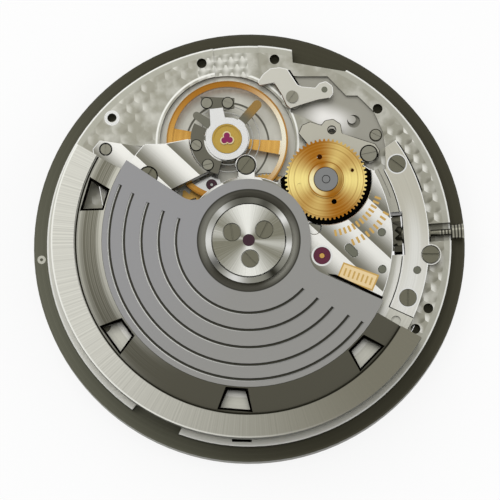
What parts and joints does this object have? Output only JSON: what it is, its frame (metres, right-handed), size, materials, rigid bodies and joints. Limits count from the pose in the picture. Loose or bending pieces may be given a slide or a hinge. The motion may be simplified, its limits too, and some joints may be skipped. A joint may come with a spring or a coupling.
{
  "type": "automatic watch movement",
  "caption": "Round self-winding watch movement with a half-disc rotor, balance under a cock, gilt reversing wheel, striped bridges and a winding stem, held in a dark ring.",
  "frame": {"origin": "middle of the underside of the casing ring, on the axis of the rotor and the hands", "axes": "+Z from the dial side to the rotor side, +X along the winding stem towards the crown, +Y towards the balance"},
  "size_m": [0.028, 0.028, 0.0052],
  "materials": {
    "ring_steel": "satin, circular brushed",
    "plate": "rhodium with round-grained rings",
    "bridge": "rhodium with stripes and bright bevels",
    "base_bridge": "fine grained",
    "dark_plate": "dark grey satin",
    "steel": "polished",
    "screw": "polished grey",
    "rotor_web": "blue-grey matt",
    "rotor_rim": "brushed heavy alloy",
    "bright": "radially brushed",
    "gold": "gilt, circular brushed",
    "brass": "gilt",
    "ruby": "polished synthetic ruby",
    "spring": "polished spring strip"
  },
  "bodies": {
    "movement": {"casing_ring": "ring_steel", "mainplate": "plate", "barrel_bridge": "base_bridge", "train_bridge": "base_bridge", "winding_bridge": "bridge", "automatic_bridge": "bridge", "balance_cock": "bridge", "cock_plates": "dark_plate", "pallet_bridge": "bridge", "stop_plate": "steel", "cover_plate": "steel", "bridge_screws": "screw", "small_screws": "screw", "wheel_keepers": "screw", "bearing_core": "bright", "bearing_screws": "screw", "bearing_balls": "steel", "jewels": "ruby", "shock_blocks": "bright", "shock_spring": "gold", "setting_posts": "steel", "hairspring": "spring", "stud_carrier": "steel"},
    "rotor": {"rotor_plate": "rotor_web", "rotor_weight": "rotor_rim", "rotor_gear": "steel", "bearing_race": "bright"},
    "reverser": {"reverser_wheel": "gold"},
    "clutch": {"reverser_clutch": "steel"},
    "reduction": {"reduction_wheel": "brass"},
    "ratchet": {"ratchet_wheel": "bright", "barrel_arbor": "steel", "ratchet_screw": "screw"},
    "crown": {"crown_wheel": "bright"},
    "idler": {"idler_wheel": "bright"},
    "pinion": {"winding_pinion": "steel"},
    "stem": {"winding_stem": "steel"},
    "sliding": {"sliding_pinion": "steel"},
    "lever": {"setting_lever": "steel"},
    "yoke_body": {"yoke": "steel"},
    "stop_lever": {"hack_lever": "steel"},
    "barrel": {"barrel_drum": "brass", "barrel_cover": "brass", "mainspring": "spring"},
    "third": {"third_wheel": "brass"},
    "centre": {"centre_wheel": "brass", "cannon_pinion": "steel"},
    "fourth": {"fourth_wheel": "brass"},
    "escape": {"escape_wheel": "brass"},
    "minute": {"minute_wheel": "brass"},
    "hour": {"hour_wheel": "brass"},
    "setting": {"setting_wheel": "steel"},
    "balance": {"balance_wheel": "gold", "balance_staff": "steel"},
    "fork": {"pallet_fork": "steel", "pallet_stones": "ruby"},
    "click_body": {"click": "steel"},
    "regulator_body": {"regulator": "bright"}
  },
  "joints": [
    {"name": "rotor_spin", "type": "hinge", "parent": "movement", "child": "rotor", "pos_m": [0, 0, 0.00483], "axis": [0, 0, 1], "continuous": true},
    {"name": "reverser_spin", "type": "hinge", "parent": "movement", "child": "reverser", "pos_m": [0.00524, 0.00368, 0.0045], "axis": [0, 0, 1], "continuous": true},
    {"name": "crown_turn", "type": "hinge", "parent": "movement", "child": "pinion", "pos_m": [0.0096, 0, 0.00248], "axis": [1, 0, 0], "continuous": true},
    {"name": "crown_wheel_spin", "type": "hinge", "parent": "movement", "child": "crown", "pos_m": [0.00761, 0, 0.0037], "axis": [0, 0, 1], "continuous": true},
    {"name": "idler_spin", "type": "hinge", "parent": "movement", "child": "idler", "pos_m": [0.00709, -0.00284, 0.0037], "axis": [0, 0, 1], "continuous": true},
    {"name": "ratchet_spin", "type": "hinge", "parent": "movement", "child": "ratchet", "pos_m": [0.0034, -0.0052, 0.0037], "axis": [0, 0, 1], "continuous": true},
    {"name": "reduction_spin", "type": "hinge", "parent": "movement", "child": "reduction", "pos_m": [0.00464, -0.00126, 0.0039], "axis": [0, 0, 1], "continuous": true},
    {"name": "clutch_spin", "type": "hinge", "parent": "movement", "child": "clutch", "pos_m": [0.00524, 0.00368, 0.00395], "axis": [0, 0, 1], "continuous": true},
    {"name": "stem_pull", "type": "slide", "parent": "pinion", "child": "stem", "axis": [1, 0, 0], "range_m": [0, 0.0009]},
    {"name": "sliding_shift", "type": "slide", "parent": "pinion", "child": "sliding", "axis": [-1, 0, 0], "range_m": [0, 0.0005]},
    {"name": "setting_lever_turn", "type": "hinge", "parent": "movement", "child": "lever", "pos_m": [0.0108, 0.0025, 0.0014], "axis": [0, 0, 1], "range_deg": [0, 20.41]},
    {"name": "yoke_turn", "type": "hinge", "parent": "movement", "child": "yoke_body", "pos_m": [0.00791, 0.0025, 0.0014], "axis": [0, 0, 1], "range_deg": [-11.42, 0]},
    {"name": "stop_lever_turn", "type": "hinge", "parent": "movement", "child": "stop_lever", "pos_m": [0.00344, 0.00941, 0.0031], "axis": [0, 0, 1], "range_deg": [0, 2.58]},
    {"name": "train_spin", "type": "hinge", "parent": "movement", "child": "third", "pos_m": [0.0013, 0.00225, 0.0026], "axis": [0, 0, 1], "continuous": true},
    {"name": "barrel_spin", "type": "hinge", "parent": "movement", "child": "barrel", "pos_m": [0.0034, -0.0052, 0.0025], "axis": [0, 0, 1], "continuous": true},
    {"name": "centre_spin", "type": "hinge", "parent": "movement", "child": "centre", "pos_m": [0, 0, 0.0024], "axis": [0, 0, 1], "continuous": true},
    {"name": "fourth_spin", "type": "hinge", "parent": "movement", "child": "fourth", "pos_m": [0, 0, 0.0028], "axis": [0, 0, 1], "continuous": true},
    {"name": "escape_spin", "type": "hinge", "parent": "movement", "child": "escape", "pos_m": [-0.0031, 0.00197, 0.0022], "axis": [0, 0, 1], "continuous": true},
    {"name": "minute_spin", "type": "hinge", "parent": "movement", "child": "minute", "pos_m": [0.00266, -0.00087, 0.0017], "axis": [0, 0, 1], "continuous": true},
    {"name": "hour_spin", "type": "hinge", "parent": "movement", "child": "hour", "pos_m": [0, 0, 0.0013], "axis": [0, 0, 1], "continuous": true},
    {"name": "setting_spin", "type": "hinge", "parent": "movement", "child": "setting", "pos_m": [0.00591, 0, 0.0017], "axis": [0, 0, 1], "continuous": true},
    {"name": "balance_swing", "type": "hinge", "parent": "movement", "child": "balance", "pos_m": [-0.00096, 0.0068, 0.0031], "axis": [0, 0, 1], "range_deg": [-270, 270], "stiffness_Nm_per_rad": 0.0000002},
    {"name": "fork_rock", "type": "hinge", "parent": "movement", "child": "fork", "pos_m": [-0.00216, 0.00409, 0.0022], "axis": [0, 0, 1], "range_deg": [-5, 5]},
    {"name": "click_lift", "type": "hinge", "parent": "movement", "child": "click_body", "pos_m": [-0.00104, -0.00418, 0.0037], "axis": [0, 0, 1], "range_deg": [0, 8], "stiffness_Nm_per_rad": 0.0000002},
    {"name": "regulator_turn", "type": "hinge", "parent": "movement", "child": "regulator_body", "pos_m": [-0.00096, 0.0068, 0.0043], "axis": [0, 0, 1], "range_deg": [-8, 8]}
  ],
  "couplings": [
    {"joint": "reverser_spin", "follows": "rotor_spin", "ratio": -1.4737},
    {"joint": "crown_wheel_spin", "follows": "crown_turn", "ratio": -0.58333},
    {"joint": "idler_spin", "follows": "crown_turn", "ratio": 1.2727},
    {"joint": "ratchet_spin", "follows": "crown_turn", "ratio": -0.33333},
    {"joint": "reduction_spin", "follows": "crown_turn", "ratio": 1.75},
    {"joint": "clutch_spin", "follows": "crown_turn", "ratio": -4.375},
    {"joint": "sliding_shift", "follows": "stem_pull", "ratio": 0.55556},
    {"joint": "setting_lever_turn", "follows": "stem_pull", "rad_per_m": 395.76},
    {"joint": "yoke_turn", "follows": "stem_pull", "rad_per_m": -221.49},
    {"joint": "stop_lever_turn", "follows": "stem_pull", "rad_per_m": 50},
    {"joint": "centre_spin", "follows": "train_spin", "ratio": -0.125},
    {"joint": "barrel_spin", "follows": "train_spin", "ratio": 0.020833},
    {"joint": "fourth_spin", "follows": "train_spin", "ratio": -7.5},
    {"joint": "escape_spin", "follows": "train_spin", "ratio": 90},
    {"joint": "minute_spin", "follows": "train_spin", "ratio": 0.041667},
    {"joint": "hour_spin", "follows": "train_spin", "ratio": -0.010417},
    {"joint": "setting_spin", "follows": "train_spin", "ratio": -0.069444}
  ]
}
